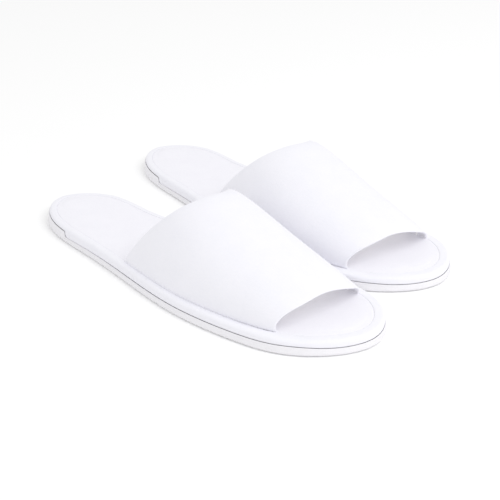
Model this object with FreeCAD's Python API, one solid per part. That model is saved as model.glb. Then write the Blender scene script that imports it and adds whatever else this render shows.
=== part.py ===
import FreeCAD, Part
import math
import os

# A pair of open-toe spa slippers, in millimetres.
# Each slipper is drawn with its heel at the origin, its toe along +X, its inner side
# towards +Y and the floor at Z = 0.  The pair is then centred on the origin.

# Sole outline.  A station is a place along the sole, as a share of its length.
SOLE_LENGTH = 280.0
HEEL_WIDTH = 52.5
WAIST_WIDTH = 63.5
INSTEP_WIDTH = 82.5
BALL_WIDTH = 91.0
TREAD_WIDTH = 90.5
TOE_WIDTH = 71.0
HEEL_STATION = 0.08
WAIST_STATION = 0.25
INSTEP_STATION = 0.43
BALL_STATION = 0.61
TREAD_STATION = 0.79
TOE_STATION = 0.92
# Swing: how far the middle of the sole lies towards the inner side at each station.
HEEL_SWING = 0.5
WAIST_SWING = -3.2
INSTEP_SWING = -1.0
BALL_SWING = -3.4
TREAD_SWING = -0.9
TOE_SWING = 2.6
TIP_SWING = 6.5

# Sole layers, from the floor up.
OUTSOLE_THICKNESS = 5.0
RAND_THICKNESS = 0.6
BOARD_THICKNESS = 1.0
FOAM_THICKNESS = 2.8
COVER_THICKNESS = 0.6
# The rand is the fabric strip round the rim, from the top seam to under the board.
RAND_INSET = 0.8
RAND_RADIUS = 2.2
RAND_MARGIN = 14.0
SEAM_INSET = 5.5
SEAM_THREAD = 0.5
# The outsole has a low moulded lip that cups the rim round the heel.
LIP_HEIGHT = 2.5
LIP_LENGTH = 46.0

# Moulded tread in the outsole: cross grooves in a heel patch and a forefoot patch.
GROOVE_WIDTH = 3.5
GROOVE_DEPTH = 1.0
GROOVE_PITCH = 9.0
TREAD_BORDER = 8.0
TREAD_PATCHES = ((0.05, 0.36), (0.50, 0.95))

# Upper: a padded band over the forefoot, in three layers.
UPPER_OUTER = 0.8
UPPER_FOAM = 2.0
UPPER_LINING = 0.6
UPPER_INSET = 4.2
# The band is drawn in from the rim by this much more at its toe edge.
TOE_DRAW_IN = 2.6
TOE_SHOW = 41.0
TOE_BOW = 13.0
TOE_POWER = 2.9
SIDE_LENGTH = 127.5
THROAT_SCOOP = 30.5
THROAT_POWER = 2.5
# The throat's inner corner lies this much further forward than its outer one.
THROAT_SKEW = 15.0
# Sections of the upper: height of its crown above the floor, squareness of its arch
# (2 is an ellipse) and lean of its crown towards the inner side.
BACK_CROWN, BACK_SQUARENESS, BACK_LEAN = 33.0, 2.1, 12.0
THROAT_CROWN, THROAT_SQUARENESS, THROAT_LEAN = 57.4, 2.1, 7.5
MIDDLE_CROWN, MIDDLE_SQUARENESS, MIDDLE_LEAN = 46.3, 2.1, 0.3
TOE_CROWN, TOE_SQUARENESS, TOE_LEAN = 29.7, 1.75, -7.0
FRONT_CROWN, FRONT_SQUARENESS, FRONT_LEAN = 21.0, 1.75, -7.0
SECTION_OVERRUN = 16.0
# Seams that hold the turned edges of the upper, on the lining side.
HEM_WIDTH = 3.0
HEM_THREAD = 0.6

# The pair side by side: the left slipper stands back and toes in a little.
PAIR_GAP = 2.0
PAIR_SETBACK = 25.6
TOE_IN_DEGREES = 4.3

INSET_STEPS = 56
ARCH_STEPS = 12
EDGE_STEPS = 8
TALL = 200.0
UP = FreeCAD.Vector(0, 0, 1)

# Levels that follow from the layers.
MARGIN_TOP = OUTSOLE_THICKNESS + RAND_THICKNESS
BOARD_TOP = MARGIN_TOP + BOARD_THICKNESS
FOAM_TOP = BOARD_TOP + FOAM_THICKNESS
RIM_TOP = FOAM_TOP + COVER_THICKNESS
TOE_EDGE = SOLE_LENGTH - TOE_SHOW
THROAT_EDGE = TOE_EDGE - SIDE_LENGTH


def outline_points():
    """Points round the sole: heel, outer side, toe tip, inner side."""
    stations = (
        (HEEL_STATION, HEEL_WIDTH, HEEL_SWING),
        (WAIST_STATION, WAIST_WIDTH, WAIST_SWING),
        (INSTEP_STATION, INSTEP_WIDTH, INSTEP_SWING),
        (BALL_STATION, BALL_WIDTH, BALL_SWING),
        (TREAD_STATION, TREAD_WIDTH, TREAD_SWING),
        (TOE_STATION, TOE_WIDTH, TOE_SWING),
    )
    outer = [FreeCAD.Vector(s * SOLE_LENGTH, swing - w / 2, 0) for s, w, swing in stations]
    inner = [FreeCAD.Vector(s * SOLE_LENGTH, swing + w / 2, 0) for s, w, swing in stations]
    tip = FreeCAD.Vector(SOLE_LENGTH, TIP_SWING, 0)
    return [FreeCAD.Vector(0, 0, 0)] + outer + [tip] + inner[::-1]


def closed_face(points):
    """A plan face bounded by one closed spline with centripetal knots."""
    knots = [0.0]
    for here, there in zip(points, points[1:] + points[:1]):
        knots.append(knots[-1] + math.sqrt((there - here).Length))
    curve = Part.BSplineCurve()
    curve.interpolate(Points=points, PeriodicFlag=True, Parameters=knots)
    return Part.Face(Part.Wire([curve.toShape()]))


def inset_face(plan, inset):
    """The plan drawn in by an even margin, square to its outline."""
    if inset == 0:
        return plan
    edge = plan.OuterWire.Edges[0]
    points = []
    for i in range(INSET_STEPS):
        share = i / INSET_STEPS
        at = edge.FirstParameter + share * (edge.LastParameter - edge.FirstParameter)
        along = edge.tangentAt(at)
        points.append(edge.valueAt(at) + FreeCAD.Vector(-along.y, along.x, 0) * inset)
    return closed_face(points)


def slab(plan, inset, bottom, top):
    """A flat layer of the sole between two levels."""
    face = inset_face(plan, inset).copy()
    face.translate(UP * bottom)
    return face.extrude(UP * (top - bottom))


def edges_at(solid, level):
    """The edges of a solid that lie at one height."""
    flat = [e for e in solid.Edges if e.BoundBox.ZLength < 1e-6]
    return [e for e in flat if abs(e.BoundBox.ZMin - level) < 1e-6]


def rounded_slab(plan, inset, bottom, top, radius):
    """A flat layer with its upper edge rounded."""
    block = slab(plan, inset, bottom, top)
    return block.makeFillet(radius, edges_at(block, top))


def tread_grooves(plan):
    """Cross grooves that stop short of the sole's edge."""
    field = slab(plan, TREAD_BORDER, -GROOVE_DEPTH, GROOVE_DEPTH)
    bars = []
    for start, end in TREAD_PATCHES:
        count = int((end - start) * SOLE_LENGTH / GROOVE_PITCH)
        for i in range(count):
            x = start * SOLE_LENGTH + i * GROOVE_PITCH
            corner = FreeCAD.Vector(x, -TALL, -GROOVE_DEPTH)
            bars.append(Part.makeBox(GROOVE_WIDTH, 2 * TALL, 2 * GROOVE_DEPTH, corner))
    return [field.common(bar) for bar in bars]


def outsole(plan):
    """Moulded foam sole with a lip round the heel and grooves in its flat bottom face."""
    block = slab(plan, 0, 0, OUTSOLE_THICKNESS)
    lip_top = OUTSOLE_THICKNESS + LIP_HEIGHT
    lip = slab(plan, 0, OUTSOLE_THICKNESS, lip_top)
    lip = lip.cut(slab(plan, RAND_INSET, OUTSOLE_THICKNESS, lip_top))
    corner = FreeCAD.Vector(LIP_LENGTH - 2 * TALL, -TALL, 0)
    lip = lip.common(Part.makeBox(2 * TALL, 2 * TALL, TALL, corner))
    return block.fuse(lip).cut(tread_grooves(plan))


def rand(plan):
    """Fabric strip that wraps the rim from the top seam to under the board."""
    outside = rounded_slab(plan, RAND_INSET, OUTSOLE_THICKNESS, RIM_TOP, RAND_RADIUS)
    core_radius = RAND_RADIUS - RAND_THICKNESS
    core = rounded_slab(plan, RAND_INSET + RAND_THICKNESS, MARGIN_TOP, FOAM_TOP, core_radius)
    top_opening = slab(plan, SEAM_INSET, FOAM_TOP, RIM_TOP + 1)
    under_opening = slab(plan, RAND_MARGIN, OUTSOLE_THICKNESS - 1, MARGIN_TOP)
    return outside.cut([core, top_opening, under_opening])


def sole_layers(plan):
    """Everything under the foot, from the floor up."""
    core_inset = RAND_INSET + RAND_THICKNESS
    core_radius = RAND_RADIUS - RAND_THICKNESS
    thread_inset = SEAM_INSET + SEAM_THREAD
    thread = slab(plan, SEAM_INSET, FOAM_TOP, RIM_TOP - 0.1)
    return {
        "outsole": outsole(plan),
        "bottom_filler": slab(plan, RAND_MARGIN, OUTSOLE_THICKNESS, MARGIN_TOP),
        "insole_board": slab(plan, core_inset, MARGIN_TOP, BOARD_TOP),
        "footbed_foam": rounded_slab(plan, core_inset, BOARD_TOP, FOAM_TOP, core_radius),
        "insole_cover": slab(plan, thread_inset, FOAM_TOP, RIM_TOP),
        "rand": rand(plan),
        "rim_seam_thread": thread.cut(slab(plan, thread_inset, FOAM_TOP, RIM_TOP)),
    }


def upper_sections():
    """Place, draw-in, crown height, squareness and lean of each section of the upper."""
    back = THROAT_EDGE - SECTION_OVERRUN
    throat = THROAT_EDGE + THROAT_SCOOP
    toe = TOE_EDGE + TOE_BOW
    middle = (throat + toe) / 2
    front = toe + SECTION_OVERRUN
    return (
        (back, 0, BACK_CROWN, BACK_SQUARENESS, BACK_LEAN),
        (throat, 0, THROAT_CROWN, THROAT_SQUARENESS, THROAT_LEAN),
        (middle, TOE_DRAW_IN / 2, MIDDLE_CROWN, MIDDLE_SQUARENESS, MIDDLE_LEAN),
        (toe, TOE_DRAW_IN, TOE_CROWN, TOE_SQUARENESS, TOE_LEAN),
        (front, TOE_DRAW_IN, FRONT_CROWN, FRONT_SQUARENESS, FRONT_LEAN),
    )


def chord_at(face, x):
    """The lowest and highest Y of a plan face on one cross line."""
    line = Part.makeLine(FreeCAD.Vector(x, -TALL, 0), FreeCAD.Vector(x, TALL, 0))
    box = face.common(line).BoundBox
    return box.YMin, box.YMax


def arch_wire(base, section, depth):
    """A closed arch, drawn in by a depth: a superellipse over the chord of the base.

    With c and s the signed cosine and the sine of an angle, raised to 2 / squareness, a
    point is at y = middle + half * c + lean * s and z = rim + crown * s.
    """
    x, draw_in, crown, squareness, lean = section
    low, high = chord_at(base, x)
    middle = (low + high) / 2
    half = (high - low) / 2 - draw_in - depth
    rise = crown - depth - RIM_TOP
    points = []
    for i in range(ARCH_STEPS + 1):
        angle = math.pi * i / ARCH_STEPS
        c = math.copysign(abs(math.cos(angle)) ** (2 / squareness), math.cos(angle))
        s = abs(math.sin(angle)) ** (2 / squareness)
        if i in (0, ARCH_STEPS):
            s = 0.0
        points.append(FreeCAD.Vector(x, middle + half * c + lean * s, RIM_TOP + rise * s))
    arch = Part.BSplineCurve()
    arch.interpolate(Points=points)
    return Part.Wire([arch.toShape(), Part.makeLine(points[-1], points[0])])


def tunnel(base, depth):
    """The filled space under a layer of the upper that lies this deep."""
    wires = [arch_wire(base, section, depth) for section in upper_sections()]
    return Part.makeLoft(wires, True, False)


def bowed_edge(base, x, bow, power, skew, shift):
    """Plan line of an edge of the upper: x = corner + bow * (1 - |s| ** power) + skew * (s + 1) / 2."""
    low, high = chord_at(base, x)
    middle = (low + high) / 2
    half = (high - low) / 2
    points = []
    for i in range(-EDGE_STEPS, EDGE_STEPS + 1):
        s = 1.25 * i / EDGE_STEPS
        along = x + bow * (1 - abs(s) ** power) + skew * (s + 1) / 2 + shift
        points.append(FreeCAD.Vector(along, middle + s * half, 0))
    return points


def upper_plan(base, throat_hem, toe_hem):
    """A tall block over the upper's plan, drawn in from its two free edges."""
    throat = bowed_edge(base, THROAT_EDGE, THROAT_SCOOP, THROAT_POWER, THROAT_SKEW, throat_hem)
    toe = bowed_edge(base, TOE_EDGE, TOE_BOW, TOE_POWER, 0, -toe_hem)
    throat_curve = Part.BSplineCurve()
    throat_curve.interpolate(Points=throat)
    toe_curve = Part.BSplineCurve()
    toe_curve.interpolate(Points=toe)
    outer_side = Part.makeLine(throat[0], toe[0])
    inner_side = Part.makeLine(throat[-1], toe[-1])
    wire = Part.Wire([throat_curve.toShape(), inner_side, toe_curve.toShape(), outer_side])
    return Part.Face(wire).extrude(UP * TALL)


def upper_layers(plan):
    """The padded band: outer fabric, foam, lining and the two hem seams."""
    base = inset_face(plan, UPPER_INSET)
    foam_depth = UPPER_OUTER
    lining_depth = foam_depth + UPPER_FOAM
    inner_depth = lining_depth + UPPER_LINING
    whole = upper_plan(base, 0, 0)
    outside = tunnel(base, 0)
    foam = tunnel(base, foam_depth)
    lining = tunnel(base, lining_depth)
    inside = tunnel(base, inner_depth)
    thread = inside.cut(tunnel(base, inner_depth + HEM_THREAD))
    past = HEM_WIDTH + HEM_THREAD
    throat_strip = upper_plan(base, HEM_WIDTH, past).cut(upper_plan(base, past, past))
    toe_strip = upper_plan(base, past, HEM_WIDTH).cut(upper_plan(base, past, past))
    return {
        "upper_outer": outside.cut(foam).common(whole),
        "upper_foam": foam.cut(lining).common(whole),
        "upper_lining": lining.cut(inside).common(whole),
        "throat_hem_thread": thread.common(throat_strip),
        "toe_hem_thread": thread.common(toe_strip),
    }


def left_offset(plan):
    """Where the left heel goes, so that the two soles stand the pair's gap apart."""
    turned = plan.copy()
    turned.rotate(FreeCAD.Vector(0, 0, 0), UP, -TOE_IN_DEGREES)
    spacing = SOLE_LENGTH
    for _ in range(40):
        turned.Placement.Base = FreeCAD.Vector(-PAIR_SETBACK, spacing, 0)
        spacing -= plan.distToShape(turned)[0] - PAIR_GAP
    return FreeCAD.Vector(-PAIR_SETBACK, spacing, 0)


def pair_centre(plan, left_place):
    """The middle of the pair's plan."""
    turned = plan.copy()
    turned.Placement = left_place
    points = plan.OuterWire.discretize(800) + turned.OuterWire.discretize(800)
    xs = [p.x for p in points]
    ys = [p.y for p in points]
    return FreeCAD.Vector((min(xs) + max(xs)) / 2, (min(ys) + max(ys)) / 2, 0)


def main():
    os.makedirs("parts", exist_ok=True)
    plan = closed_face(outline_points())
    slipper = {**sole_layers(plan), **upper_layers(plan)}
    turn = FreeCAD.Rotation(UP, -TOE_IN_DEGREES)
    offset = left_offset(plan)
    centre = pair_centre(plan, FreeCAD.Placement(offset, turn))
    places = {
        "right": FreeCAD.Placement(-centre, FreeCAD.Rotation()),
        "left": FreeCAD.Placement(offset - centre, turn),
    }
    print("left heel from right heel:", offset, "pair centre:", centre)
    for side, place in places.items():
        for piece, shape in slipper.items():
            moved = shape.copy()
            moved.Placement = place.multiply(moved.Placement)
            name = side + "_" + piece
            moved.exportStep("parts/" + name + ".step")
            solids = len(moved.Solids)
            print(name, "solids", solids, "valid", moved.isValid(), "mm3", round(moved.Volume))


main()
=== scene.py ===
# %% [markdown]
# # A pair of white open-toe spa slippers
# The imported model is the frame: it gives each slipper's place and its bodies. This file makes the
# cloth, foam and thread that show, and puts them round that frame. Lengths are in metres.

# %% Load the frame
import math

import bmesh
import bpy
import numpy as np
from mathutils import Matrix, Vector


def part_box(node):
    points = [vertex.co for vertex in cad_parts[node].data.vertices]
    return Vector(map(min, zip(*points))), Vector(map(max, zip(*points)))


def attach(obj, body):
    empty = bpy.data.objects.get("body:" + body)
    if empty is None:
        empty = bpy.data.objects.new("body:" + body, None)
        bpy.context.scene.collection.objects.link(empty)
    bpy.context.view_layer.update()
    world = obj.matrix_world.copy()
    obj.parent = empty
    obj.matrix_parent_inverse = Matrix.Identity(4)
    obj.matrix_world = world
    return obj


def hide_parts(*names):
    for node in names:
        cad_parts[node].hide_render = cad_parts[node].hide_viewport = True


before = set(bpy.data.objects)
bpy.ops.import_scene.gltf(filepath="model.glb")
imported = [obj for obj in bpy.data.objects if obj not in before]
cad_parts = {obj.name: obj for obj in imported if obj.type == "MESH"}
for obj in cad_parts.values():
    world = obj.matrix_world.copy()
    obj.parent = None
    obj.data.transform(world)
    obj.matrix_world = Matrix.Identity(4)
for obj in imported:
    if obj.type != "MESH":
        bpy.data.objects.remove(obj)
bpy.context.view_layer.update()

MM = 0.001

# %% [markdown]
# ## Camera
# The camera stands in front of the toes, on the right slipper's side, a little under a metre away
# and looking down at 25 degrees. A long lens keeps the two soles nearly parallel. It is made
# first, so that every later step can be looked at.

# %% Camera
CAMERA_DISTANCE = 0.974
CAMERA_TURN = math.radians(-43.8)
CAMERA_HEIGHT = math.radians(25.0)
CAMERA_TARGET = Vector((0.0114, 0.0, 0.0))
CAMERA_LENS = 109.2
CAMERA_SHIFT = 0.003


def make_camera():
    """Place: target + distance * (cos e cos a, cos e sin a, sin e), looking back at the target."""
    flat = math.cos(CAMERA_HEIGHT)
    level = (flat * math.cos(CAMERA_TURN), flat * math.sin(CAMERA_TURN))
    back = Vector((*level, math.sin(CAMERA_HEIGHT)))
    data = bpy.data.cameras.new("camera")
    data.sensor_width = 36.0
    data.lens = CAMERA_LENS
    data.shift_y = CAMERA_SHIFT
    camera = bpy.data.objects.new("camera", data)
    bpy.context.scene.collection.objects.link(camera)
    camera.location = CAMERA_TARGET + back * CAMERA_DISTANCE
    camera.rotation_euler = (-back).to_track_quat("-Z", "Y").to_euler()
    bpy.context.scene.camera = camera
    return camera


print("camera at", tuple(round(c, 3) for c in make_camera().location))

# %% [markdown]
# ## The outline of a sole
# A sole is cut with one die, so its outline is one smooth closed curve. It could be drawn with
# handles, but a periodic cubic spline through a few widths says the same with fewer numbers. It
# follows the frame's own soles, within 1.7 mm round the back of the heel and 0.6 mm elsewhere.
# Both slippers use the same outline.

# %% Outline of the sole
SOLE_LENGTH = 280 * MM
STATIONS = np.array([0.08, 0.25, 0.43, 0.61, 0.79, 0.92]) * SOLE_LENGTH
WIDTHS = np.array([52.5, 63.5, 82.5, 91.0, 90.5, 71.0]) * MM
SWINGS = np.array([0.5, -3.2, -1.0, -3.4, -0.9, 2.6]) * MM
TIP_SWING = 6.5 * MM


def closed_spline(points):
    """A periodic cubic spline through points, with centripetal knots.

    Its second derivatives m solve, for each knot i with spans h, the usual continuity rule
    h[i-1] m[i-1] + 2 (h[i-1] + h[i]) m[i] + h[i] m[i+1] = 6 * (change of slope at knot i).
    """
    following = np.roll(points, -1, axis=0)
    spans = np.sqrt(np.linalg.norm(following - points, axis=1))[:, None]
    before = np.roll(spans, 1, axis=0)
    slopes = (following - points) / spans
    count = len(points)
    rule = np.diag(2 * (before + spans)[:, 0])
    rows = np.arange(count)
    rule[rows, (rows - 1) % count] += before[:, 0]
    rule[rows, (rows + 1) % count] += spans[:, 0]
    m = np.linalg.solve(rule, 6 * (slopes - np.roll(slopes, 1, axis=0)))
    m_next = np.roll(m, -1, axis=0)
    knots = np.concatenate([[0.0], np.cumsum(spans[:, 0])])

    def at(t):
        """Position at each parameter t, from the cubic of the span that holds it."""
        i = np.clip(np.searchsorted(knots, t, side="right") - 1, 0, count - 1)
        h = spans[i]
        a = (knots[i + 1] - t)[:, None]
        b = (t - knots[i])[:, None]
        ends = a * (points[i] / h - m[i] * h / 6) + b * (following[i] / h - m_next[i] * h / 6)
        return ends + (m[i] * a**3 + m_next[i] * b**3) / (6 * h)

    return at, knots


def sole_outline(steps):
    """2 * steps + 1 points round the sole: heel, outer side, tip, inner side, heel again.

    Each side is divided evenly by length, so point i on the outer side faces point 2 * steps - i.
    """
    outer = np.stack([STATIONS, SWINGS - WIDTHS / 2], 1)
    inner = np.stack([STATIONS, SWINGS + WIDTHS / 2], 1)
    points = np.concatenate([[[0, 0]], outer, [[SOLE_LENGTH, TIP_SWING]], inner[::-1]])
    at, knots = closed_spline(points)
    tip = len(STATIONS) + 1
    sides = []
    for start, end in ((knots[0], knots[tip]), (knots[tip], knots[-1])):
        t = np.linspace(start, end, 4001)
        along = at(t)
        length = np.concatenate([[0], np.cumsum(np.linalg.norm(np.diff(along, axis=0), axis=1))])
        even = np.linspace(0, length[-1], steps + 1)
        sides.append(at(np.interp(even, length, t)))
    return np.concatenate([sides[0], sides[1][1:]])


def inward(outline):
    """Unit normals of a closed outline, pointing into it: the tangent turned left."""
    ring = outline[:-1]
    tangent = np.roll(ring, -1, axis=0) - np.roll(ring, 1, axis=0)
    normal = np.stack([-tangent[:, 1], tangent[:, 0]], 1)
    normal /= np.linalg.norm(normal, axis=1)[:, None]
    return np.concatenate([normal, normal[:1]])


def girth(outline):
    """Distance along an outline from its first point to each of its points."""
    steps = np.linalg.norm(np.diff(outline, axis=0), axis=1)
    return np.concatenate([[0], np.cumsum(steps)])


print("girth of the sole: %.1f mm" % (girth(sole_outline(400))[-1] / MM))

# %% [markdown]
# ## From grids to meshes
# Every new piece is a few grids of points. A grid that closes on itself repeats its first column
# as its last, so that the pattern coordinates run on, and merging doubles then closes the seam.

# %% Grids to meshes
MERGE = 1e-6


def grid_faces(rows, columns, first):
    """Corner numbers of each four-sided face of a grid whose points start at a number."""
    i, j = np.meshgrid(np.arange(rows - 1), np.arange(columns - 1), indexing="ij")
    corner = first + i * columns + j
    return np.stack([corner, corner + 1, corner + columns + 1, corner + columns], -1).reshape(-1, 4)


def mesh_piece(name, grids):
    """One closed mesh from (points, pattern) grids. Points are (rows, columns, 3), in metres."""
    vertices = np.concatenate([points.reshape(-1, 3) for points, _ in grids])
    pattern = np.concatenate([uv.reshape(-1, 2) for _, uv in grids])
    starts = np.cumsum([0] + [points.shape[0] * points.shape[1] for points, _ in grids])
    faces = [grid_faces(*points.shape[:2], start) for (points, _), start in zip(grids, starts)]
    faces = np.concatenate(faces)
    mesh = bpy.data.meshes.new(name)
    mesh.from_pydata(vertices.tolist(), [], faces.tolist())
    layer = mesh.uv_layers.new(name="pattern")
    corners = np.empty(len(mesh.loops), dtype=np.int32)
    mesh.loops.foreach_get("vertex_index", corners)
    layer.data.foreach_set("uv", pattern[corners].astype(np.float32).ravel())
    work = bmesh.new()
    work.from_mesh(mesh)
    bmesh.ops.remove_doubles(work, verts=work.verts, dist=MERGE)
    bmesh.ops.dissolve_degenerate(work, edges=work.edges, dist=MERGE)
    bmesh.ops.recalc_face_normals(work, faces=work.faces)
    work.to_mesh(mesh)
    open_edges = sum(1 for edge in work.edges if len(edge.link_faces) != 2)
    work.free()
    mesh.polygons.foreach_set("use_smooth", np.ones(len(mesh.polygons), dtype=bool))
    piece = bpy.data.objects.new(name, mesh)
    bpy.context.scene.collection.objects.link(piece)
    print(name, "faces", len(mesh.polygons), "open edges", open_edges)
    return piece


def sweep(outline, inset, height):
    """A profile carried round the outline: outline + inset * inward normal, at a height.

    inset and height have one row a profile point, and one column or one column a place round.
    """
    columns = len(outline)
    inset = np.broadcast_to(inset, (len(inset), columns))
    height = np.broadcast_to(height, (len(height), columns))
    flat = outline[None] + inset[..., None] * inward(outline)[None]
    points = np.concatenate([flat, height[..., None]], -1)
    width = np.hypot(np.diff(inset[:, 0]), np.diff(height[:, 0]))
    across = np.concatenate([[0], np.cumsum(width)])
    uv = np.stack(np.broadcast_arrays(girth(outline)[None], across[:, None]), -1)
    return points, uv


def column(values):
    """A list of profile values as a column, from millimetres."""
    return np.array(values, dtype=float)[:, None] * MM


def cap(ring, across, height=None):
    """Fills a ring with straight lines from each outer point to the inner point facing it.

    height(x, y, share along, share across) adds a height to each point.
    """
    steps = (len(ring) - 1) // 2
    outer = ring[: steps + 1, None]
    inner = ring[::-1][: steps + 1, None]
    share = np.linspace(0, 1, across + 1)[None, :, None]
    points = outer * (1 - share) + inner * share
    if height is not None:
        along = np.linspace(0, 1, steps + 1)[:, None]
        side = 2 * share[..., 0] - 1
        points[..., 2] += height(points[..., 0], points[..., 1], along, side)
    return points, points[..., :2].copy()


def smooth_step(x, start, end):
    """0 before start, 1 after end, and a soft cubic between."""
    t = np.clip((x - start) / (end - start), 0, 1)
    return t * t * (3 - 2 * t)


# %% [markdown]
# ## Where each slipper stands
# Everything is made in the slipper's own place, heel at zero and toe along X, and put where the
# frame's outsole is. The turn of the left slipper is the pair's toe-in, and its shift follows
# from the corner of the frame's box.

# %% Places of the two slippers
TOE_IN = {"right": 0.0, "left": math.radians(-4.3)}
OUTLINE = sole_outline(480)


def turned(points, angle):
    """Points turned about the vertical through the heel."""
    out = points.copy()
    out[..., 0] = points[..., 0] * math.cos(angle) - points[..., 1] * math.sin(angle)
    out[..., 1] = points[..., 0] * math.sin(angle) + points[..., 1] * math.cos(angle)
    return out


def place_of(side):
    """The turn and the shift that take a slipper from its own place to the pair."""
    corner = np.array(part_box(side + "_outsole")[0])[:2]
    shift = corner - turned(OUTLINE, TOE_IN[side]).min(axis=0)
    print(side, "heel at", np.round(shift / MM, 2))
    return TOE_IN[side], shift


PLACES = {side: place_of(side) for side in ("right", "left")}


def put(side, grids):
    """Grids moved to where one slipper of the pair stands."""
    angle, shift = PLACES[side]
    moved = []
    for points, uv in grids:
        points = turned(points, angle)
        points[..., :2] += shift
        moved.append((points, uv))
    return moved


# %% [markdown]
# ## Shared effects for the materials
# Three effects are used again and again, so each is a node group that puts out a colour factor
# or a height: the short pile of brushed cloth, the loops of a knit, and the cells of foam. The
# shader stays in each material, where its plain values sit on its own sockets.

# %% Node groups
NUMBER = "NodeSocketFloat"


def group(name, inputs, outputs):
    """A shader node group with named number inputs and outputs, and its two end nodes."""
    tree = bpy.data.node_groups.new(name, "ShaderNodeTree")
    for label, value in inputs:
        socket = tree.interface.new_socket(name=label, in_out="INPUT", socket_type=NUMBER)
        socket.default_value = value
    tree.interface.new_socket(name="Vector", in_out="INPUT", socket_type="NodeSocketVector")
    for label in outputs:
        tree.interface.new_socket(name=label, in_out="OUTPUT", socket_type=NUMBER)
    return tree, tree.nodes.new("NodeGroupInput"), tree.nodes.new("NodeGroupOutput")


def noise(tree, vector, scale, detail, roughness=0.55):
    """A noise texture on a vector socket; scale is a number or a socket. Gives its factor."""
    node = tree.nodes.new("ShaderNodeTexNoise")
    node.inputs["Detail"].default_value = detail
    node.inputs["Roughness"].default_value = roughness
    tree.links.new(vector, node.inputs["Vector"])
    if isinstance(scale, (int, float)):
        node.inputs["Scale"].default_value = scale
    else:
        tree.links.new(scale, node.inputs["Scale"])
    return node.outputs["Fac"]


def maths(tree, operation, first, second=None):
    """A maths node on sockets or numbers. Gives its result."""
    node = tree.nodes.new("ShaderNodeMath")
    node.operation = operation
    for socket, value in zip(node.inputs, (first, second)):
        if value is None:
            continue
        if isinstance(value, (int, float)):
            socket.default_value = value
        else:
            tree.links.new(value, socket)
    return node.outputs[0]


def blend(tree, first, first_share, second, second_share):
    """first * first_share + second * second_share, with maths nodes."""
    one = maths(tree, "MULTIPLY", first, first_share)
    other = maths(tree, "MULTIPLY", second, second_share)
    return maths(tree, "ADD", one, other)


def spread(tree, value, low, high, to_low, to_high):
    """Stretches a value from one range to another, held at the ends."""
    node = tree.nodes.new("ShaderNodeMapRange")
    ends = {"From Min": low, "From Max": high, "To Min": to_low, "To Max": to_high}
    for label, number in ends.items():
        node.inputs[label].default_value = number
    tree.links.new(value, node.inputs["Value"])
    return node.outputs["Result"]


def pile_group():
    """Brushed pile: fine fibres over soft clouds where the nap lies one way or another."""
    scales = [("Fibres", 2600.0), ("Clouds", 70.0)]
    tree, start, end = group("brushed pile", scales, ["Height", "Shade"])
    vector = start.outputs["Vector"]
    fibres = noise(tree, vector, start.outputs["Fibres"], 3.0, 0.7)
    clumps = noise(tree, vector, 620.0, 2.0)
    clouds = noise(tree, vector, start.outputs["Clouds"], 3.0, 0.6)
    height = blend(tree, fibres, 0.55, clumps, 0.45)
    nap = spread(tree, clouds, 0.3, 0.7, -0.5, 0.5)
    grain = spread(tree, height, 0.3, 0.7, -0.5, 0.5)
    shade = blend(tree, nap, 0.35, grain, 0.65)
    tree.links.new(height, end.inputs["Height"])
    tree.links.new(shade, end.inputs["Shade"])
    return tree


def knit_group():
    """Knitted loops: rows of rounded wales, height = |sin(u)| * (0.6 + 0.4 |sin(v + u)|)."""
    tree, start, end = group("knit loops", [("Loops", 900.0)], ["Height", "Shade"])
    split = tree.nodes.new("ShaderNodeSeparateXYZ")
    tree.links.new(start.outputs["Vector"], split.inputs[0])
    loops = maths(tree, "MULTIPLY", start.outputs["Loops"], math.pi)
    u = maths(tree, "MULTIPLY", split.outputs["X"], loops)
    v = maths(tree, "MULTIPLY", split.outputs["Y"], loops)
    wale = maths(tree, "ABSOLUTE", maths(tree, "SINE", u))
    course = maths(tree, "ABSOLUTE", maths(tree, "SINE", maths(tree, "ADD", v, u)))
    rounded = maths(tree, "ADD", maths(tree, "MULTIPLY", course, 0.4), 0.6)
    fuzz = noise(tree, start.outputs["Vector"], 3000.0, 2.0)
    height = blend(tree, wale, rounded, fuzz, 0.3)
    tree.links.new(height, end.inputs["Height"])
    tree.links.new(spread(tree, height, 0.2, 1.2, -0.5, 0.5), end.inputs["Shade"])
    return tree


def foam_group():
    """Foam skin: small round cells, with a slow unevenness from the mould."""
    tree, start, end = group("foam cells", [("Cells", 1500.0)], ["Height", "Shade"])
    cells = tree.nodes.new("ShaderNodeTexVoronoi")
    tree.links.new(start.outputs["Vector"], cells.inputs["Vector"])
    tree.links.new(start.outputs["Cells"], cells.inputs["Scale"])
    pits = spread(tree, cells.outputs["Distance"], 0.0, 0.45, 0.0, 1.0)
    slow = noise(tree, start.outputs["Vector"], 120.0, 3.0)
    height = blend(tree, pits, 0.5, slow, 0.5)
    tree.links.new(height, end.inputs["Height"])
    tree.links.new(spread(tree, height, 0.3, 0.9, -0.5, 0.5), end.inputs["Shade"])
    return tree


GROUPS = {"pile": pile_group(), "knit": knit_group(), "foam": foam_group()}
print("node groups:", ", ".join(g.name for g in GROUPS.values()))

# %% [markdown]
# ## Materials
# All the cloth is white with the faintest blue, so the eye reads it by its nap, its softness at
# grazing angles and the dirt-free shade in its seams. Each material tints its colour by its
# effect's shade, and bumps by its height; sheen gives the pale edge of brushed fibres. The
# lining glows a little: painted light, in place of the light that passes through thin white cloth.

# %% Materials
ROUGHNESS_SPREAD = 0.06
SHEEN_ROUGHNESS = 0.6
CLOTH_GLOSS = 0.25
# Strength and colour of the lining's glow: painted light, not a lamp.
LINING_PAINTED_GLOW = 0.26
LINING_PAINTED_GLOW_COLOR = (1.0, 0.985, 0.965, 1)


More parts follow.
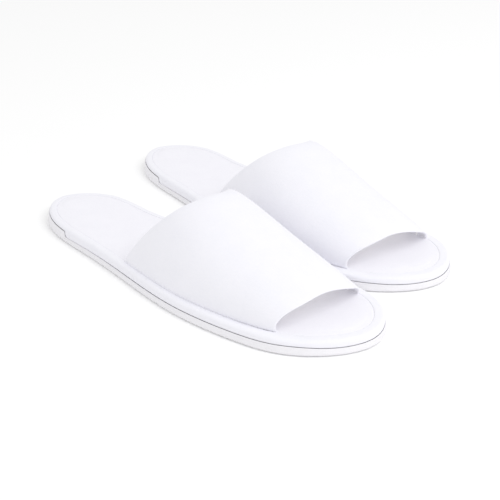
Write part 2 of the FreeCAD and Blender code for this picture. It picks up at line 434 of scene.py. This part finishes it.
def material(name, kind, color, dark, roughness, bump, sheen=0.0, coords="UV", **values):
    """A Principled material whose colour runs from dark to color with the effect's shade."""
    made = bpy.data.materials.new(name)
    made.use_nodes = True
    tree = made.node_tree
    shader = tree.nodes["Principled BSDF"]
    where = tree.nodes.new("ShaderNodeTexCoord")
    effect = tree.nodes.new("ShaderNodeGroup")
    effect.node_tree = GROUPS[kind]
    tree.links.new(where.outputs[coords], effect.inputs["Vector"])
    for label, value in values.items():
        effect.inputs[label].default_value = value
    mix = tree.nodes.new("ShaderNodeMix")
    mix.data_type = "RGBA"
    mix.inputs[6].default_value = (*dark, 1)
    mix.inputs[7].default_value = (*color, 1)
    tree.links.new(spread(tree, effect.outputs["Shade"], -0.5, 0.5, 0.0, 1.0), mix.inputs[0])
    tree.links.new(mix.outputs[2], shader.inputs["Base Color"])
    dull = min(1, roughness + ROUGHNESS_SPREAD)
    rough = spread(tree, effect.outputs["Shade"], -0.5, 0.5, dull, roughness - ROUGHNESS_SPREAD)
    tree.links.new(rough, shader.inputs["Roughness"])
    relief = tree.nodes.new("ShaderNodeBump")
    relief.inputs["Strength"].default_value = 1.0
    relief.inputs["Distance"].default_value = bump
    tree.links.new(effect.outputs["Height"], relief.inputs["Height"])
    tree.links.new(relief.outputs["Normal"], shader.inputs["Normal"])
    shader.inputs["Sheen Weight"].default_value = sheen
    shader.inputs["Sheen Roughness"].default_value = SHEEN_ROUGHNESS
    shader.inputs["Specular IOR Level"].default_value = CLOTH_GLOSS
    return made


BRUSHED = material("brushed_cloth", "pile", (0.915, 0.908, 0.955), (0.86, 0.86, 0.915), 0.92,
                   0.00012, 0.15)
FOOTBED = material("footbed_cloth", "pile", (0.925, 0.917, 0.965), (0.87, 0.862, 0.92), 0.94,
                   0.00016, 0.15, Fibres=1700.0, Clouds=60.0)
LINING = material("lining_cloth", "knit", (0.87, 0.86, 0.85), (0.78, 0.77, 0.76), 0.9, 0.0001, 0.1)
# Emission on the lining: painted light that brightens the inside of the band.
LINING_INPUTS = LINING.node_tree.nodes["Principled BSDF"].inputs
LINING_INPUTS["Emission Color"].default_value = LINING_PAINTED_GLOW_COLOR
LINING_INPUTS["Emission Strength"].default_value = LINING_PAINTED_GLOW
FOAM_SKIN = material("sole_foam", "foam", (0.885, 0.875, 0.905), (0.83, 0.82, 0.85), 0.7, 0.00006,
                     coords="Object")
THREAD = material("white_thread", "knit", (0.88, 0.88, 0.92), (0.74, 0.74, 0.79), 0.8, 0.00005,
                  0.1, coords="Object", Loops=2400.0)
PADDING = material("white_padding", "foam", (0.9, 0.9, 0.88), (0.78, 0.78, 0.75), 0.95, 0.0002,
                   coords="Object", Cells=900.0)
BOARD = material("fibre_board", "pile", (0.72, 0.68, 0.6), (0.55, 0.5, 0.42), 0.9, 0.0001,
                 coords="Object", Fibres=900.0)
print("materials:", len(bpy.data.materials))


def finish_piece(piece, surface, side, slot, *nodes):
    """Gives a piece its material and body, and hides the frame's nodes it stands for; slot is not
    used.
    """
    piece.data.materials.append(surface)
    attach(piece, side + "_slipper")
    if nodes:
        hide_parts(*[side + "_" + node for node in nodes])
    return piece


# %% [markdown]
# ## The outsole
# A flat sheet of white foam, moulded with cross grooves underneath and a low lip that cups the
# heel. Its side is a profile carried round the outline, and its bottom is filled straight across,
# so each groove follows the lines that run across the sole. A box with a bevel would lose both
# the swung outline and the grooves. The line where it is glued to the rim wanders a little, as a
# hand-glued edge does, so the top of its side rises and falls.

# %% Outsole
SOLE_TOP = 5.0 * MM
LIP_TOP = 7.5 * MM
LIP_END = 46 * MM
GLUE_PLACES = [0.0, 0.08, 0.16, 0.23, 0.30, 0.36, 0.405, 0.43, 0.47, 0.53, 0.62, 0.74, 0.86, 1.0]
GLUE_HEIGHTS = np.array([4.4, 3.9, 4.5, 4.7, 5.1, 5.4, 5.6, 5.9, 4.9, 5.3, 5.0, 5.4, 4.9, 4.4]) * MM
JOINT_FADE = 5 * MM
SOLE_FLARE = 0.6 * MM
GROOVE_DEPTH = 1.0 * MM
GROOVE_BORDER = 0.82
TREAD_PATCHES = ((0.05, 0.36), (0.50, 0.95))
GROOVES_A_LENGTH = 31


def glue_line(outline):
    """Height of the glued joint round the sole: a soft curve through a few given heights."""
    share = girth(outline) / girth(outline)[-1]
    spacing = 0.012
    offsets = np.linspace(-spacing, spacing, 9)
    return np.mean([np.interp((share + o) % 1, GLUE_PLACES, GLUE_HEIGHTS) for o in offsets], axis=0)


def joint_height(outline):
    """The glued joint with the lip: it stands high round the heel and drops at the lip's ends."""
    lip = 1 - smooth_step(outline[:, 0], LIP_END - 1.5 * MM, LIP_END)
    line = glue_line(outline)
    return line + (LIP_TOP - line) * lip


def joint_depth(outline):
    """1 along the joint, and nearly 0 just past the lip's ends, where cloth and foam lie flush."""
    return 1 - 0.92 * np.exp(-((outline[:, 0] - LIP_END - JOINT_FADE) / JOINT_FADE) ** 2)


def tread(x, y, along, side):
    """Grooves across the sole: deep where a wave along it is high, and clear of the border."""
    wave = 0.5 - 0.5 * np.cos(2 * math.pi * GROOVES_A_LENGTH * along)
    patch = sum((along > a) * (along < b) for a, b in TREAD_PATCHES)
    inside = 1 - smooth_step(np.abs(side), GROOVE_BORDER - 0.04, GROOVE_BORDER)
    return GROOVE_DEPTH * smooth_step(wave, 0.5, 0.8) * patch * inside


def make_outsole(side):
    """Side and top edge as one profile round the outline, then a cap below and one above."""
    joint = joint_height(OUTLINE)[None]
    none = 0 * joint
    side_height = column([0, 0, 0, 0.05, 0.2, 0.5, 1.0, 1.6, 2.3, 3.0]) + none
    side_inset = column([8, 5, 4, 3.2, 2.2, 1.2, 0.45, 0.1, 0, 0])
    side_inset = side_inset - SOLE_FLARE * (1 - side_height / SOLE_TOP)
    edge_height = joint + column([-0.9, -0.45, -0.15, -0.03, 0, -0.25])
    edge_inset = column([0, 0.02, 0.1, 0.22, 0.42, 0.68]) * joint_depth(OUTLINE)
    top_height = column([4.3, 4.3, 4.3, 4.3]) + none
    top_inset = column([0.8, 1.2, 3, 8]) + none
    inset = np.concatenate([side_inset, edge_inset, top_inset])
    height = np.concatenate([side_height, edge_height, top_height])
    points, uv = sweep(OUTLINE, inset, height)
    grids = [(points, uv), cap(points[0], 48, tread), cap(points[-1], 8)]
    piece = mesh_piece(side + "_foam_outsole", put(side, grids))
    return finish_piece(piece, FOAM_SKIN, side, "sole_foam", "outsole")


for side in PLACES:
    make_outsole(side)

# %% [markdown]
# ## The rand
# A strip of the same brushed cloth is sewn to the footbed cloth, pulled down over the padded rim
# and turned under the board. It shows as the soft rounded rim. Its section is a wall, a quarter
# round and a short flat that dips into the seam; it goes back inside to make a closed strip. The
# cloth turns in sharply where it meets the sole, which is what draws the dark joint line.

# %% Rand
RIM_TOP = 10.0 * MM
RIM_INSET = 0.8 * MM
RIM_RADIUS = 2.3 * MM
THROAT_EDGE = 111.5 * MM
TOE_EDGE = 239 * MM
SEAM_INSET = 5.4 * MM
SEAM_DRAW_IN = 1.6 * MM
JOINT_TUCK = 0.45 * MM
RIM_WAVES = 0.12 * MM


def seam_inset(x):
    """Distance of the top seam from the sole's edge: it moves in along the band."""
    return SEAM_INSET + SEAM_DRAW_IN * smooth_step(x, THROAT_EDGE, TOE_EDGE)


def rim_waves(outline, size):
    """A slow unevenness of hand-pulled cloth round the rim: three waves of prime counts."""
    turn = 2 * math.pi * girth(outline) / girth(outline)[-1]
    waves = np.sin(13 * turn) + 0.7 * np.sin(29 * turn + 1) + 0.5 * np.sin(47 * turn + 2)
    return size * waves / 2.2


def make_rand(side):
    """Turned-in lower edge, wall, quarter round, flat and dip, then back inside."""
    joint = joint_height(OUTLINE)[None]
    shoulder = RIM_TOP - RIM_RADIUS
    share = np.array([0, 0.03, 0.08, 0.16, 0.3, 0.5, 0.75, 1.0])[:, None]
    wall = joint + share * (shoulder - joint)
    tuck = JOINT_TUCK * joint_depth(OUTLINE)
    wall_inset = RIM_INSET - 0.25 * MM + tuck * np.exp(-(wall - joint) / (0.25 * MM))
    angle = np.linspace(0, math.pi / 2, 9)[1:, None]
    round_inset = RIM_INSET - 0.25 * MM + RIM_RADIUS * (1 - np.cos(angle)) + 0 * joint
    waves = rim_waves(OUTLINE, RIM_WAVES)[None]
    round_height = shoulder + RIM_RADIUS * np.sin(angle) + waves * np.sin(angle)
    seam = seam_inset(OUTLINE[:, 0])[None]
    flat_share = np.array([0.35, 0.65, 0.82, 0.92, 1.0])[:, None]
    flat_inset = round_inset[-1:] + flat_share * (seam - round_inset[-1:])
    flat_height = round_height[-1:] - column([-0.05, -0.06, -0.05, 0.0, 0.15])
    hidden_inset = np.concatenate([seam + column([0.1, -1.5]), column([3.4, 3.0]) + 0 * seam])
    hidden_height = column([8.9, 8.8, 6.5, 5.2]) + 0 * seam
    start_inset = 0 * seam + 3.0 * MM
    start_height = 0 * seam + 5.2 * MM
    inset = np.concatenate([start_inset, wall_inset, round_inset, flat_inset, hidden_inset])
    height = np.concatenate([start_height, wall, round_height, flat_height, hidden_height])
    piece = mesh_piece(side + "_cloth_rand", put(side, [sweep(OUTLINE, inset, height)]))
    return finish_piece(piece, BRUSHED, side, "brushed_fabric", "rand")


for side in PLACES:
    make_rand(side)

# %% [markdown]
# ## The footbed
# The cloth under the foot is laid over thin padding and sewn round its edge, so it is flat with a
# soft fall towards the seam, and not quite even. It could be a simulated sheet, but padding this
# thin gives no folds, so a cap over the seam's ring with a gentle crown and slow waves is enough.

# %% Footbed
FOOTBED_CROWN = 0.45 * MM
FOOTBED_WAVES = 0.14 * MM


def footbed_height(x, y, along, side):
    """Crown across the sole that fades to the seam, with slow dents in both directions."""
    edge = (1 - side**4) * smooth_step(along, 0, 0.06) * (1 - smooth_step(along, 0.94, 1))
    bent = x / (17 * MM) + 1.3 * np.sin(y / (21 * MM))
    dents = np.sin(bent) * np.cos(y / (13 * MM) + x / (37 * MM))
    return edge * (FOOTBED_CROWN + FOOTBED_WAVES * dents)


def make_footbed(side):
    """Rolled edge that rises out of the seam, a cap on top and a cap below."""
    seam = seam_inset(OUTLINE[:, 0])[None]
    inset = seam + column([0.3, 0.08, 0.05, 0.25, 0.6, 1.2, 2.2, 3.6])
    height = column([9.0, 9.4, 9.68, 9.84, 9.94, 10.02, 10.08, 10.1]) + 0 * seam
    points, uv = sweep(OUTLINE, inset, height)
    grids = [(points, uv), cap(points[-1], 56, footbed_height), cap(points[0], 8)]
    piece = mesh_piece(side + "_footbed_cloth", put(side, grids))
    return finish_piece(piece, FOOTBED, side, "footbed_fabric", "insole_cover")


for side in PLACES:
    make_footbed(side)

# %% [markdown]
# ## Stitches
# A seam is a row of short threads, each a little rounded grain that dips into the cloth at both
# ends. One grain is an ellipsoid of a few faces; the row is that grain set along a path, all at
# once, turned to the path's own direction.

# %% Stitches
STITCH_PITCH = 3.1 * MM
STITCH_LENGTH = 2.3 * MM
STITCH_THICKNESS = 0.45 * MM


def pick(values, at, run):
    """The rows of values at some distances along a path whose points lie at the distances run."""
    return np.stack([np.interp(at, run, values[:, k]) for k in range(3)], 1)


def grains(path, out, pitch, length, thickness):
    """Stitches along a path: centre + along * a + up * b + across * c, an ellipsoid each."""
    run = np.concatenate([[0], np.cumsum(np.linalg.norm(np.diff(path, axis=0), axis=1))])
    count = int(run[-1] / pitch)
    middle = (np.arange(count) + 0.5) * run[-1] / count
    centre = pick(path, middle, run)
    along = pick(path, middle + length / 4, run) - pick(path, middle - length / 4, run)
    along /= np.linalg.norm(along, axis=1)[:, None]
    up = pick(out, middle, run)
    up -= (up * along).sum(1)[:, None] * along
    up /= np.linalg.norm(up, axis=1)[:, None]
    across = np.cross(along, up)
    tilt = np.linspace(0, math.pi, 7)[:, None]
    spin = np.linspace(0, 2 * math.pi, 7)[None]
    a = np.cos(tilt) * length / 2 + 0 * spin
    b = np.sin(tilt) * np.cos(spin) * thickness / 2
    c = np.sin(tilt) * np.sin(spin) * thickness / 2
    shape = (Ellipsis, None)
    grain = a[None][shape] * along[:, None, None] + b[None][shape] * up[:, None, None]
    points = centre[:, None, None] + grain + c[None][shape] * across[:, None, None]
    return [(stitch, stitch[..., :2].copy()) for stitch in points]


def make_rim_stitches(side):
    """The seam between the rand and the footbed, in the dip that the two make."""
    flat = OUTLINE + (seam_inset(OUTLINE[:, 0]) + 0.02 * MM)[:, None] * inward(OUTLINE)
    path = np.column_stack([flat, np.full(len(flat), RIM_TOP - 0.32 * MM)])
    out = np.tile([0.0, 0.0, 1.0], (len(path), 1))
    grids = grains(path, out, STITCH_PITCH, STITCH_LENGTH, STITCH_THICKNESS)
    piece = mesh_piece(side + "_rim_stitches", put(side, grids))
    return finish_piece(piece, THREAD, side, "thread", "rim_seam_thread")


for side in PLACES:
    make_rim_stitches(side)

# %% [markdown]
# ## The band
# The band over the forefoot is outer cloth and lining with foam between, sewn flat and then
# arched when its two long sides go into the sole's seam. Its shape is a run of arches: each is a
# superellipse over the chord of the seam, and its crown, squareness and lean change smoothly from
# the foot opening to the toes. Both free edges are turned over the foam, so they are round and a
# little thinner than the middle. Cloth simulation was weighed up, but a panel this thin is lost
# when it is remeshed, so the padding's swell is a formula of the distance to the nearest edge.

# %% The band's shape
UPPER_INSET = 4.2 * MM
DRAW_INS = np.array([0.0, 0.0, 1.3, 2.6, 2.6]) * MM
TOE_BOW = 13 * MM
TOE_POWER = 2.9
THROAT_SCOOP = 30.5 * MM
THROAT_POWER = 2.5
THROAT_SKEW = 15 * MM
OVERRUN = 16 * MM
CROWNS = np.array([33.0, 57.4, 46.3, 29.7, 21.0]) * MM
SQUARENESS = np.array([2.1, 2.1, 2.1, 1.75, 1.75])
LEANS = np.array([12.0, 7.5, 0.3, -7.0, -7.0]) * MM
BACK = THROAT_EDGE - OVERRUN
THROAT = THROAT_EDGE + THROAT_SCOOP
TOE = TOE_EDGE + TOE_BOW
SECTIONS = np.array([BACK, THROAT, (THROAT + TOE) / 2, TOE, TOE + OVERRUN])
BASE_RING = OUTLINE + UPPER_INSET * inward(OUTLINE)
BASE_STEPS = len(BASE_RING) // 2


def through_sections(values):
    """The one quartic through a value at each of the five sections, in metres along the sole."""
    fit = np.polyfit(SECTIONS / SOLE_LENGTH, values, 4)
    return lambda x: np.polyval(fit, x / SOLE_LENGTH)


CROWN_AT = through_sections(CROWNS)
SQUARENESS_AT = through_sections(SQUARENESS)
LEAN_AT = through_sections(LEANS)
DRAW_IN_AT = through_sections(DRAW_INS)


def base_chord(x):
    """Middle and half width between the two sides of the band's foot at each x."""
    outer = BASE_RING[: BASE_STEPS + 1]
    inner = BASE_RING[BASE_STEPS:][::-1]
    low = np.interp(x, outer[:, 0], outer[:, 1])
    high = np.interp(x, inner[:, 0], inner[:, 1])
    return (low + high) / 2, (high - low) / 2


def band_point(angle, x, depth):
    """Point of the arch: y = middle - half * c + lean * s, z = rim + rise * s.

    c and s are the signed cosine and the sine of the angle raised to 2 / squareness; half and
    rise are smaller by the depth under the outer face.
    """
    middle, half = base_chord(x)
    power = 2 / SQUARENESS_AT(x)
    c = np.sign(np.cos(angle)) * np.abs(np.cos(angle)) ** power
    s = np.abs(np.sin(angle)) ** power
    reach = half - DRAW_IN_AT(x) - depth
    rise = CROWN_AT(x) - depth - RIM_TOP
    return np.stack([x + 0 * c, middle - reach * c + LEAN_AT(x) * s, RIM_TOP + rise * s], -1)


def edge_line(angle, corner, bow, power, skew=0.0):
    """x of a free edge: corner + bow * (1 - |s| ** power) + skew * (s + 1) / 2.

    s is the share of the half width, from -1 at the outer side to 1 at the inner side. It
    depends on x, so the line is found by going halfway to its own formula many times.
    """
    middle, half = base_chord(np.array(corner))
    x = np.full_like(angle, corner + bow / 2)
    for _ in range(60):
        s = np.clip((band_point(angle, x, 0 * x)[..., 1] - middle) / half, -1.1, 1.1)
        x = 0.5 * x + 0.5 * (corner + bow * (1 - np.abs(s) ** power) + skew * (s + 1) / 2)
    return x


ANGLES = np.linspace(0, math.pi, 121)
THROAT_LINE = edge_line(ANGLES, THROAT_EDGE, THROAT_SCOOP, THROAT_POWER, THROAT_SKEW)
TOE_LINE = edge_line(ANGLES, TOE_EDGE, TOE_BOW, TOE_POWER)
print("crown of the band: %.1f mm" % (band_point(ANGLES, THROAT_LINE, 0)[..., 2].max() / MM))

# %% [markdown]
# The section through the band's thickness is the same everywhere: round at the two free edges,
# then swelling to the full padding over the first centimetre or so. The outer cloth is a closed
# shell of that section; the lining is a thinner one on its inside, held off the turned edges.

# %% Band, lining and hem stitches
EDGE_RADIUS = 0.8 * MM
EDGE_DROOP = 0.7 * MM
THROAT_DROOP = 1.6 * MM
DROOP_WIDTH = 5 * MM
PAD_SWELL = 0.9 * MM
SWELL_WIDTH = 18 * MM
PAD_WAVES = 0.16 * MM
CREASE_DEPTH = 0.7 * MM
CREASE_HEIGHT = 1.0 * MM
FOOT_TUCK = 0.9 * MM
HEM_WIDTH = 7 * MM
LINING_HALF = 0.28 * MM


def half_thickness(edge):
    """Half the band's thickness at a distance from its nearest free edge."""
    near = np.minimum(edge, EDGE_RADIUS) / EDGE_RADIUS
    turned_edge = EDGE_RADIUS * np.sqrt(1 - (1 - near) ** 2)
    return turned_edge + PAD_SWELL * smooth_step(edge, 0, SWELL_WIDTH)


def softness(angle, x):
    """Slow unevenness of the padding, a few tenths of a millimetre, none at the foot."""
    waves = np.sin(x / (11 * MM) + 3 * angle) * np.sin(5 * angle + 1)
    waves = waves + np.sin(x / (23 * MM) - 2 * angle)
    return PAD_WAVES * waves * np.sin(angle)


def foot_crease(angle, x):
    """Extra depth at the foot of the band, where the seam pulls the cloth in."""
    height = band_point(angle, x, 0 * x)[..., 2] - RIM_TOP
    return CREASE_DEPTH * np.exp(-height / CREASE_HEIGHT)


def band_shell(first, last, centre, half):
    """Closed shell between two edge lines: out along one face and back along the other.

    centre and half give the depth of the shell's middle and half its thickness, from the
    distance to its nearest edge and the grids of angle and x.
    """
    share = 0.5 - 0.5 * np.cos(np.linspace(0, math.pi, 111))[:, None]
    x = first + (last - first) * share
    edge = np.minimum(x - first, last - x)
    angle = np.broadcast_to(ANGLES, x.shape)
    middle = centre(edge, angle, x)
    thickness = half(edge)
    outside = band_point(angle, x, middle - thickness)
    inside = band_point(angle, x, middle + thickness)
    between = band_point(angle, x, middle)
    loop = np.concatenate([outside, inside[::-1]])
    core = np.concatenate([between, between[::-1]])
    rows = [core[:, :1], loop[:, :1], loop, loop[:, -1:], core[:, -1:]]
    down = [FOOT_TUCK, FOOT_TUCK, 0, FOOT_TUCK, FOOT_TUCK]
    dropped = [part - np.array([0, 0, drop]) for part, drop in zip(rows, down)]
    points = np.concatenate(dropped, axis=1)
    around = np.linalg.norm(np.diff(points[len(x) // 2], axis=0), axis=1)
    around = np.concatenate([[0], np.cumsum(around)])
    uv = np.stack([points[..., 0], np.broadcast_to(around, points.shape[:2])], -1)
    return points, uv


def band_centre(edge, angle, x):
    """Depth of the band's middle: the padding swells inwards and the free edges droop a little.

    The inner half of the throat droops further, which rounds its corner.
    """
    swell = PAD_SWELL * smooth_step(edge, 0, SWELL_WIDTH)
    droop = EDGE_DROOP * np.exp(-edge / DROOP_WIDTH) * np.sin(angle)
    inner_side = smooth_step(angle, 1.1, 2.1) * np.sin(angle)
    droop = droop + THROAT_DROOP * np.exp(-(x - THROAT_LINE) / DROOP_WIDTH) * inner_side
    return EDGE_RADIUS + swell + droop - softness(angle, x) + foot_crease(angle, x)


def lining_centre(edge, angle, x):
    """Depth of the lining: on the inner face of the band, which swells away from the edges."""
    inner = half_thickness(edge + HEM_WIDTH)
    return band_centre(edge, angle, x) + inner + 0.1 * MM


def lining_half(edge):
    """Half the lining's thickness, thinned to nothing over its own last millimetre."""
    return LINING_HALF * np.sqrt(smooth_step(edge, 0, 1.2 * MM))


def make_band(side):
    """Outer cloth over the padding, turned over both free edges."""
    grids = [band_shell(THROAT_LINE, TOE_LINE, band_centre, half_thickness)]
    piece = mesh_piece(side + "_padded_band", put(side, grids))
    return finish_piece(piece, BRUSHED, side, "brushed_fabric", "upper_outer", "upper_foam")


def flat_cut(first, last):
    """Width over the foot, length along it and area of the cloth between two edge lines."""
    x = first + (last - first) * np.linspace(0, 1, 80)[:, None]
    points = band_point(np.broadcast_to(ANGLES, x.shape), x, 0 * x)
    over = np.linalg.norm(np.diff(points, axis=1), axis=2).sum(axis=1)
    along = np.linalg.norm(np.diff(points, axis=0), axis=2).sum(axis=0)
    across = points[:-1, 1:] - points[:-1, :-1]
    ahead = points[1:, :-1] - points[:-1, :-1]
    area = np.linalg.norm(np.cross(across, ahead), axis=2).sum()
    return (float(over.max()), float(along.max())), float(area)


def make_lining(side):
    """Inside cloth, sewn down over the turned edges and stretched under the band."""
    first = THROAT_LINE + HEM_WIDTH
    last = TOE_LINE - HEM_WIDTH
    grids = [band_shell(first, last, lining_centre, lining_half)]
    piece = mesh_piece(side + "_band_lining", put(side, grids))
    flat, area = flat_cut(first, last)
    print("lining cut: %.1f x %.1f mm, %.1f cm2" % (flat[0] / MM, flat[1] / MM, area * 1e4))
    return finish_piece(piece, LINING, side, "lining_fabric", "upper_lining")


def make_hem_stitches(side, name, line, offset):
    """Stitches that hold the lining's edge, on the inside of the band."""
    x = line + offset
    depth = lining_centre(0 * x, ANGLES, x) + LINING_HALF
    keep = slice(4, -4)
    path = band_point(ANGLES, x, depth)[keep]
    out = path - band_point(ANGLES, x, 0 * x)[keep]
    grids = grains(path, out, STITCH_PITCH, STITCH_LENGTH, STITCH_THICKNESS * 0.9)
    piece = mesh_piece(side + "_" + name + "_stitches", put(side, grids))
    return finish_piece(piece, THREAD, side, "thread", name + "_hem_thread")


for side in PLACES:
    padded_band = make_band(side)
    make_lining(side)
    make_hem_stitches(side, "throat", THROAT_LINE, HEM_WIDTH + 1.6 * MM)
    make_hem_stitches(side, "toe", TOE_LINE, -HEM_WIDTH - 1.6 * MM)

# %% [markdown]
# ## Inside the sole
# The filler is right as the frame has it and only gets its material. The board and the padding
# lie just inside the rim, so they are made again as plain slabs from the same outline as the rim.

# %% Filler, board and padding
BOARD_INSET = 1.9 * MM
BOARD_LEVELS = (5.6, 6.6)
FOAM_LEVELS = (6.6, 9.3)


def make_slab(side, name, levels, surface, slot, node):
    """A flat layer between two levels, in millimetres, inside the rim."""
    points, uv = sweep(OUTLINE, column([BOARD_INSET / MM, BOARD_INSET / MM]), column(levels))
    grids = [(points, uv), cap(points[0], 8), cap(points[1], 8)]
    piece = mesh_piece(side + "_" + name, put(side, grids))
    return finish_piece(piece, surface, side, slot, node)


def dress_node(name, surface):
    """Puts one material in every slot of a frame node."""
    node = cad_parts[name]
    if not node.material_slots:
        node.data.materials.append(surface)
    for slot in node.material_slots:
        slot.material = surface


for side in PLACES:
    make_slab(side, "board", BOARD_LEVELS, BOARD, "fibre_board", "insole_board")
    make_slab(side, "padding", FOAM_LEVELS, PADDING, "padding", "footbed_foam")
    dress_node(side + "_bottom_filler", PADDING)

# %% [markdown]
# ## Floor and light
# A pale floor under a pale sky gives the high, even light of a white studio. One broad lamp
# stands over the toes, so the crowns of the bands are the brightest and their outer sides fall
# off softly.

# %% Floor and light
TABLE_GLOW = 0.06
SKY_STRENGTH = 0.85
KEY_PLACE = (0.86, 0.08, 1.08)
KEY_SIZE = 0.8
KEY_POWER = 5.5


def make_floor():
    """A pale floor, well past the view, that glows a little as a light table does."""
    half = 6.0
    corners = [(-half, -half, 0), (half, -half, 0), (half, half, 0), (-half, half, 0)]
    mesh = bpy.data.meshes.new("floor")
    mesh.from_pydata(corners, [], [(0, 1, 2, 3)])
    floor = bpy.data.objects.new("floor", mesh)
    bpy.context.scene.collection.objects.link(floor)
    paint = bpy.data.materials.new("floor_paint")
    paint.use_nodes = True
    shader = paint.node_tree.nodes["Principled BSDF"]
    shader.inputs["Base Color"].default_value = (0.94, 0.94, 0.94, 1)
    shader.inputs["Roughness"].default_value = 1.0
    shader.inputs["Specular IOR Level"].default_value = 0.0
    shader.inputs["Emission Color"].default_value = (1.0, 1.0, 1.0, 1)
    shader.inputs["Emission Strength"].default_value = TABLE_GLOW
    mesh.materials.append(paint)


def make_lamp(name, place, size, power):
    """A square soft lamp that looks at the slippers."""
    data = bpy.data.lights.new(name, "AREA")
    data.size = size
    data.energy = power
    lamp = bpy.data.objects.new(name, data)
    bpy.context.scene.collection.objects.link(lamp)
    lamp.location = place
    lamp.rotation_euler = (-Vector(place)).to_track_quat("-Z", "Y").to_euler()


def make_sky(strength):
    """An even pale sky."""
    world = bpy.data.worlds.new("sky")
    world.use_nodes = True
    sky = world.node_tree.nodes["Background"]
    sky.inputs["Color"].default_value = (1.0, 1.0, 1.0, 1)
    sky.inputs["Strength"].default_value = strength
    bpy.context.scene.world = world


make_floor()
make_lamp("key", KEY_PLACE, KEY_SIZE, KEY_POWER)
make_sky(SKY_STRENGTH)
bpy.context.scene.view_settings.view_transform = "Standard"
